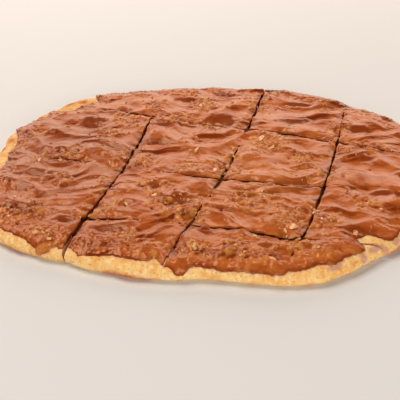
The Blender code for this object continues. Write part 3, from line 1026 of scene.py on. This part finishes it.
# the spread's thickness as it droops and rounds over to an open cut, and how far it droops
def rollToCut(places, thickness, away, closed):
    least, most, reach = chocolate["roll"]
    across, *fades = chocolate["rollUneven"]
    rollMost, dropMost = chocolate["rollMost"]
    uneven = smoothStep(*fades, flatField(*places.T, across, 95))
    rolled = (1 - smoothStep(0, reach, away)) * (1 - chocolate["rollClosed"] * closed)
    thickness = thickness - np.minimum((least + (most - least) * uneven) * rolled, rollMost * thickness)
    drop = (1 - roundOver(away, chocolate["roundCut"])) * (1 - closed)
    return thickness - np.minimum(chocolate["cutDrop"], dropMost * thickness) * drop, rolled * uneven


# the way up to the chocolate's edge at each angle, below where a slice's rings begin
def edgeBelow(angle, start):
    return np.minimum(edgeUp(angle), start - chocolate["clearance"])


# the chocolate's edge on the crust as points to search, for slices whose rings begin at a way up
def edgeTree(start):
    angle = np.linspace(-math.pi, math.pi, chocolate["edgePoints"])
    inset, height, _, _ = crustAt(edgeBelow(angle, start))
    reach = rimRadius(angle, height) - inset
    tree = kdtree.KDTree(len(angle))
    for number, place in enumerate(np.column_stack([aroundRim(angle, reach), height])):
        tree.insert(place, number)
    tree.balance()
    return tree


edgeTrees = {}


# how far the chocolate's edge on the crust is from points at a way up the skin, in mm
def lipAt(points, up, start):
    if start not in edgeTrees:
        edgeTrees[start] = edgeTree(start)
    away = np.array([edgeTrees[start].find(point)[2] for point in points])
    return np.minimum(up - edgeBelow(anglesOf(points[:, :2]), start), away)


# ways up the skin, from where the rings begin out to the chocolate's edge, each by the angle
def edgeLevels(start):
    near = chocolate["near"]
    count = math.ceil((start - edgeLeast - near[-1]) / cellSize)

    def levelOf(share, step):
        def level(angle):
            edge = edgeBelow(angle, start)
            reach = np.minimum(near[-1], chocolate["nearMost"] * (start - edge))
            if step is not None:
                return edge + step / near[-1] * reach
            return edge + reach + share * (start - edge - reach)

        return level

    inner = [levelOf(share, None) for share in np.linspace(1, 0, count + 1)[1:]]
    return inner + [levelOf(None, step) for step in near[-2::-1]]


# the spread over base points: its thickness, rounded where it stops on the crust and along its
# cuts, how thin and how dark it is, with painted shade where it droops to a cut and along its edge on the
# crust, and how rough
def spreadOver(base, lip, wall, closedRun):
    least, reach = chocolate["thinRim"]
    thicker, *between = chocolate["backThicker"]
    behind = thicker * smoothStep(*between, base[:, 1])
    scale = least + behind + (1 - least - behind) * smoothStep(0, reach, lip)
    thickness, thin, dark, rough = spreadAt(base[:, :2])
    thickness *= scale * roundOver(lip, chocolate["roundRim"])
    away, nearest = nearestOf(base, base[wall])
    thickness, rolled = rollToCut(base[:, :2], thickness, away, closedRun[nearest])
    # painted shade where the spread droops to a cut, and along its rounded edge on the crust
    most, *fades = chocolate["edgeShade"]
    dark = np.maximum(dark, chocolate["cutShade"] * rolled)
    dark = np.maximum(dark, most * (1 - smoothStep(*fades, lip)))
    return thickness, thin, dark, rough


# points down the cut walls: over the edge, then a smear on the bread, then in under its skin
def skirtParts(foot, lean, rim, closedRun, hasRings):
    least, most, between = chocolate["skirt"]
    uneven = flatField(foot[:, 0], foot[:, 1], between, 91)
    long = smoothStep(*chocolate["skirtUneven"], uneven)
    skirt = ((least + (most - least) * long) * (1 - chocolate["skirtClosed"] * closedRun))[:, None]
    if hasRings:
        number = np.arange(len(foot))
        fade = np.clip(np.minimum(number, number[::-1]) / chocolate["skirtFade"], 0, 1)[:, None]
        skirt = skirt * fade + chocolate["skirtLeast"]
    sideways = np.column_stack([outwards(foot[:, :2], not hasRings), np.zeros(len(foot))])
    across, high = chocolate["skirtLumps"]
    lumpy = high * field(*foot.T, across, 93)[:, None]
    parts = []
    for share, smear, further, outBy in chocolate["down"]:
        part = foot + lean * (rim * share - skirt * smear - further)
        parts.append(part + sideways * (outBy + lumpy * (outBy > 0)))
    inner = foot - sideways * chocolate["innerDepth"]
    inner[:, 2] = chocolate["underside"]
    return parts, inner


# closes the spread below: down its cut walls, in under its edge on the crust, and across
def closeBelow(shell, base, normal, wall, rings, parts, inner):
    loops, onWall = [], []
    last = rings[-1] if rings else None
    for step, cutPart in enumerate(parts, 1):
        cutRow = shell.add(cutPart)
        onWall += [min(step / 3, 1)] * len(cutPart)
        if rings:
            rimRow = shell.add(base[last] - normal[last] * chocolate["skirtLeast"] * step)
            onWall += [0] * len(last)
            rimRow[0], rimRow[-1] = cutRow[-1], cutRow[0]
            cutRow = np.concatenate([cutRow, rimRow[1:-1]])
        loops.append(cutRow)
    under = innerRow = shell.add(inner)
    if rings:
        ends = len(rings) - 1
        rimRow = shell.add(base[rings[0]] * (1, 1, 0) + (0, 0, chocolate["underside"]))
        innerRow[:ends + 1], innerRow[-(ends + 1):] = rimRow[-1], rimRow[0]
        under = list(innerRow[ends:-ends]) + list(rimRow[1:-1])
        innerRow = np.concatenate([innerRow, rimRow[1:-1]])
    first = np.concatenate([wall, last[1:-1]]) if rings else wall
    loops.append(innerRow)
    for upper, lower in zip([first] + loops, loops):
        shell.band(upper, lower, closed=True)
    shell.cap(under, down=True)
    return onWall


def makeChocolate(row, column, surface):
    shares = sliceShares(row, column, cellSize, chocolate["closeToCut"])
    shell = Shell()
    start = innerUp(row, column)
    inset = crustAt(start)[0]
    sides = sliceSides(
        row, column, lambda a: rimRadius(a, pie["doughTop"]) - inset, chocolateInset, shares)
    plan = patch(sides, shares)
    flat = plan.reshape(-1, 2)
    base = np.column_stack([flat, np.full(len(flat), pie["doughTop"])])
    base[:, 2] += crustRelief(base, upAtPlaces(flat))
    bases, normals = [base], [np.tile((0.0, 0.0, 1.0), (len(flat), 1))]
    lips = [lipAt(base, upAtPlaces(flat), start)]
    index = shell.add(base).reshape(plan.shape[:2])
    shell.grid(index)
    named = {"left": index[0], "right": index[-1], "back": index[:, 0], "front": index[:, -1]}
    rimIndex, cutIndex = runs(row, column, lambda name: named[name])
    rings = []
    if hasRim(row, column):
        rings.append(rimIndex)
        for level in edgeLevels(start):
            points, normal, up = crustRing(row, column, level, chocolateInset, shares)
            rings.append(shell.add(points))
            bases.append(points)
            normals.append(normal)
            lips.append(lipAt(points, up, start))
        for inner, outer in zip(rings, rings[1:]):
            shell.band(inner, outer)
    base, normal, lip = (np.concatenate(parts) for parts in (bases, normals, lips))
    wall = wallRun(cutIndex, rings)
    closedRun = cutsNear(base[wall][:, :2])[1]
    thickness, thin, dark, rough = spreadOver(base, lip, wall, closedRun)
    top = base + normal * thickness[:, None]
    parts, inner = skirtParts(base[wall], normal[wall], thickness[wall][:, None], closedRun, bool(rings))
    onWall = closeBelow(shell, base, normal, wall, rings, parts, inner)
    points = shell.points()
    points[:len(top)] = top
    onWall += [1] * (len(points) - len(top) - len(onWall))
    # the cut walls and underside take the full dark colour, and the wall colour: painted shade in the cuts
    extra = np.zeros(len(points) - len(top))
    values = {
        "thin": np.append(thin, extra), "dark": np.append(dark, extra + 1),
        "nutty": np.append(rough, extra), "wall": np.append(np.zeros(len(top)), onWall),
    }
    name = "r%dc%d" % (row + 1, column + 1)
    return shell.finish(
        "spread_" + name, points, surface, ["chocolate_" + name], values)


# hazelnut spread, cocoa and sugar in soft fat, spread by a knife: satin, streaked, paler over nuts
def nutChocolate():
    look = {
        "mid": "#AA5020", "light": "#C2692F", "dark": "#7A2D08", "grain": "#CE8450", "thin": "#DC964E",
        # wall is painted shade for the cut walls
        "wall": "#4C1A06", "gap": "#6E2808", "sheen": "#FFD0AE",
        "roughness": (0.13, 0.24), "streak": 6, "grainAcross": 1.4, "bump": 1.2,    # mm across
        "stretch": (0.4, 1.0, 1.0),
    }
    made, tree, shader = newMaterial("hazelnutChocolateSpread")
    place = addNode(tree, "TexCoord").outputs["Object"]
    drawn = addNode(tree, "Mapping", {"Vector": place, "Scale": look["stretch"]})
    streaks = addNode(tree, "TexNoise", {
        "Vector": drawn.outputs[0], "Scale": perMillimetre(look["streak"]), "Detail": 4.0,
        "Roughness": 0.6, "Distortion": 0.4})
    meal = addNode(tree, "TexNoise", {
        "Vector": place, "Scale": perMillimetre(look["grainAcross"]), "Detail": 3.0})
    layers = [
        (look["light"], streaks.outputs[0], 0.36, 0.64, 1.0),
        (look["grain"], meal.outputs[0], 0.58, 0.74, 0.5),
    ]
    # dark carries painted shade in hollows, pits, cuts, along edges and on slopes turned to the camera, with
    # the tones; wall carries painted shade on the cut walls
    for attribute, most in (("dark", 1.0), ("thin", 0.75), ("wall", 0.9)):
        value = addNode(tree, "Attribute", attribute_name=attribute)
        layers.append((look[attribute], value.outputs["Fac"], 0.0, 1.0, most))
    # in the nutty parts it is darker where the bump's grain is low: painted shade between the grains
    fine = addNode(tree, "TexNoise", {
        "Vector": place, "Scale": perMillimetre(look["bump"]), "Detail": 2.0})
    nutty = addNode(tree, "Attribute", attribute_name="nutty")
    gap = addNode(tree, "MapRange", {
        "Value": fine.outputs[0], "From Min": 0.47, "From Max": 0.32, "To Max": 0.5})
    grainShade = addNode(tree, "Math", {
        "Value": gap.outputs[0], "Value_001": nutty.outputs["Fac"]}, operation="MULTIPLY")
    layers.append((look["gap"], grainShade.outputs[0], 0.0, 1.0, 1.0))
    base = layered(tree, linear(look["mid"]), layers)
    low, high = look["roughness"]
    rough = addNode(tree, "MapRange", {
        "Value": streaks.outputs[0], "From Min": 0.3, "From Max": 0.7, "To Min": low, "To Max": high})
    strength = addNode(tree, "MapRange", {
        "Value": nutty.outputs["Fac"], "To Min": 0.2, "To Max": 0.55})
    bump = addNode(tree, "Bump", {
        "Height": fine.outputs[0], "Strength": strength.outputs[0], "Distance": 0.5 * mm})
    dress(tree, shader, base, rough, bump, {
        "IOR": 1.47, "Specular IOR Level": 0.42, "Specular Tint": linear(look["sheen"])})
    return made


# chopped hazelnuts that show through the chocolate, sharp-edged chips half sunk in it
nuts = {
    # the larger ones where they lie: place and length
    "shown": (
        (-11, 61, 5), (-10, 84, 7), (-14, 95, 5), (-5, 79, 5), (-72, 39, 7), (-78, 43, 5), (-103, 2, 6),
        (-118, 0, 5), (-112, -28, 6), (-101, -18, 5), (31, -115, 8), (67, -76, 9), (60, -67, 7), (83, -26, 7),
        (45, -84, 8), (41, -87, 6), (0, -15, 6), (9, -8, 7), (13, -16, 6), (-54, -57, 7), (-37, -47, 8),
        (-22, -66, 6), (23, -95, 5), (58, -106, 6), (-38, 78, 5), (33, 28, 7), (40, 17, 8), (48, 28, 6),
        (-18, 8, 7), (-12, 13, 6), (19, -47, 5), (-41, -42, 5), (30, -52, 5), (66, 2, 6), (86, -22, 5),
        (36, 22, 6), (-12, -104, 7), (-5, -110, 5), (-96, -94, 5), (-104, -88, 5), (80, -92, 6),
    ),
    "smallEach": 32,
    "small": (1.3, 3.4),
    "breadth": (0.35, 0.65),
    "height": (0.5, 0.75),
    "chips": 10,    # flat faces broken off each one
    "sunk": 0.1,
    "chipDepth": (0.3, 0.75),    # from the middle to a broken face, in shares of its size
    "tilts": (0.5, 0.4),    # radians about X and Y
    "coatEdge": (0.42, 0.62),
    "coatShift": (-0.3, 0.1),    # how much less or more of one nut the chocolate covers
    "seed": 5,
}


def makeNuts(surface):
    draw = np.random.default_rng(nuts["seed"])
    small = scatter(draw, nuts["smallEach"] * 16, nuts["small"], (0, 1))
    places = list(nuts["shown"]) + small[:, :3].tolist()
    level = np.array([place[:2] for place in places])
    heights = pie["doughTop"] + rollToCut(level, spreadAt(level)[0], *cutsNear(level))[0]
    shell = Shell()
    shades, coats = [], []
    for (x, y, length), top in zip(places, heights):
        isSmall = length <= nuts["small"][1]
        ball = bmesh.new()
        bmesh.ops.create_icosphere(ball, subdivisions=2 if isSmall else 3, radius=1.0)
        points = np.array([vert.co for vert in ball.verts])
        faces = [[vert.index for vert in face.verts] for face in ball.faces]
        ball.free()
        for _ in range(nuts["chips"]):    # push what is beyond a random plane back onto it
            normal = draw.normal(size=3)
            normal /= np.linalg.norm(normal)
            beyond = np.maximum(points @ normal - draw.uniform(*nuts["chipDepth"]), 0)
            points -= beyond[:, None] * normal
        half = length / 2 * np.array((1, draw.uniform(*nuts["breadth"]), draw.uniform(*nuts["height"])))
        points *= half
        aboutX, aboutY = (draw.uniform(-most, most) for most in nuts["tilts"])
        tilt = Matrix.Rotation(aboutX, 3, "X") @ Matrix.Rotation(aboutY, 3, "Y")
        turned = np.array(Matrix.Rotation(draw.uniform(0, math.pi), 3, "Z") @ tilt)
        points = points @ turned.T + (x, y, top - half[2] * nuts["sunk"])
        index = shell.add(points)
        shell.faces += [[int(index[k]) for k in face] for face in faces]
        shades.append(np.full(len(points), draw.uniform(0, 1)))
        spots = 0.5 + field(*points.T, 1.1 if isSmall else 2.4, 33 + draw.uniform(0, 50))
        coats.append(smoothStep(*nuts["coatEdge"], spots + draw.uniform(*nuts["coatShift"])))
    values = {"tone": np.concatenate(shades), "coat": np.concatenate(coats)}
    return shell.finish("choppedNuts", shell.points(), surface, [], values, 24)


# roasted hazelnut, chopped: cream to gold flesh with a dry grain, smeared with the chocolate
def choppedHazelnut():
    look = {
        "cream": "#F6C898", "gold": "#CE8846", "coat": "#BC6A30", "roughness": (0.30, 0.22), "grain": 0.8,
    }
    made, tree, shader = newMaterial("choppedHazelnut")
    place = addNode(tree, "TexCoord").outputs["Object"]
    tone = addNode(tree, "Attribute", attribute_name="tone")
    coat = addNode(tree, "Attribute", attribute_name="coat")
    grain = addNode(tree, "TexNoise", {
        "Vector": place, "Scale": perMillimetre(look["grain"]), "Detail": 2.0})
    share = addNode(tree, "Math", {
        "Value": tone.outputs["Fac"], "Value_001": grain.outputs[0]}, operation="MULTIPLY")
    base = layered(tree, linear(look["cream"]), (
        (look["gold"], share.outputs[0], 0.0, 1.0, 1.0), (look["coat"], coat.outputs["Fac"], 0.0, 1.0, 1.0)))
    dry, wet = look["roughness"]
    rough = addNode(tree, "MapRange", {
        "Value": coat.outputs["Fac"], "To Min": dry, "To Max": wet})
    bump = addNode(tree, "Bump", {
        "Height": grain.outputs[0], "Strength": 0.3, "Distance": 0.2 * mm})
    dress(tree, shader, base, rough, bump, {
        "Subsurface Weight": 0.1, "Subsurface Radius": (1.0, 0.6, 0.3), "Subsurface Scale": 1.0 * mm})
    return made


breadSurface = bakedDough()
chocolateSurface = nutChocolate()
breadFaces = sum(makeBread(row, column, breadSurface) for row in range(rows) for column in range(columns))
print("bread: %d faces" % breadFaces)
chocolateFaces = sum(
    makeChocolate(row, column, chocolateSurface) for row in range(rows) for column in range(columns))
print("chocolate: %d faces" % chocolateFaces)
print("nuts: %d faces" % makeNuts(choppedHazelnut()))


# the plain pale floor that the pie lies on
def makeFloor():
    floorSet = {"size": 8.0, "colour": "#E2EAF5", "roughness": 0.65}
    mesh = bpy.data.meshes.new("floor")
    half = floorSet["size"] / 2
    square = [(-half, -half, 0), (half, -half, 0), (half, half, 0), (-half, half, 0)]
    mesh.from_pydata(square, [], [(0, 1, 2, 3)])
    made, _, shader = newMaterial("palePaintedFloor")
    shader.inputs["Base Color"].default_value = linear(floorSet["colour"])
    shader.inputs["Roughness"].default_value = floorSet["roughness"]
    mesh.materials.append(made)
    floor = bpy.data.objects.new("floor", mesh)
    bpy.context.scene.collection.objects.link(floor)


makeFloor()

# soft studio light: a wide panel low behind the pie, which gives the chocolate its sheen, a broad
# key from the left and behind, so that slopes turned to the camera stay deep in colour, and a low
# fill for the crust in front
panels = {
    "back": {"at": (0.1, 1.35, 0.53), "size": (2.6, 0.93), "power": 16.9, "colour": "#FFE6D0"},
    "key": {"at": (-1.2, 0.75, 2.3), "size": (1.5, 1.5), "power": 57, "colour": "#FFEAD4"},
    "front": {"at": (0.4, -1.6, 0.45), "size": (1.8, 0.5), "power": 19.8, "colour": "#FFF4E6"},
}
for name, panel in panels.items():
    light = bpy.data.lights.new(name + "Panel", "AREA")
    light.shape = "RECTANGLE"
    light.size, light.size_y = panel["size"]
    light.energy = panel["power"]
    light.color = linear(panel["colour"])[:3]
    lamp = bpy.data.objects.new(name + "Panel", light)
    lamp.location = panel["at"]
    lamp.rotation_euler = (-Vector(panel["at"])).to_track_quat("-Z", "Y").to_euler()
    bpy.context.scene.collection.objects.link(lamp)
world = bpy.data.worlds.new("studio")
world.use_nodes = True
world.node_tree.nodes["Background"].inputs["Color"].default_value = linear("#F6F0E8")
world.node_tree.nodes["Background"].inputs["Strength"].default_value = 0.08
bpy.context.scene.world = world

# the photograph's own view, its place and turn fitted to the photograph with the lens held fixed
view = {"at": (0, -475.9, 265.7), "pitch": 30.89, "yaw": -1.235, "roll": -1.218, "lens": 72, "sensor": 36}
cameraData = bpy.data.cameras.new("camera")
cameraData.lens = view["lens"]
cameraData.sensor_width = view["sensor"]
camera = bpy.data.objects.new("camera", cameraData)
turn = (
    Matrix.Rotation(math.radians(-view["yaw"]), 4, "Z")
    @ Matrix.Rotation(math.radians(90 - view["pitch"]), 4, "X")
    @ Matrix.Rotation(math.radians(view["roll"]), 4, "Z")
)
camera.matrix_world = Matrix.Translation(Vector(view["at"]) * mm) @ turn
bpy.context.scene.collection.objects.link(camera)
bpy.context.scene.camera = camera
bpy.context.scene.view_settings.view_transform = "Standard"
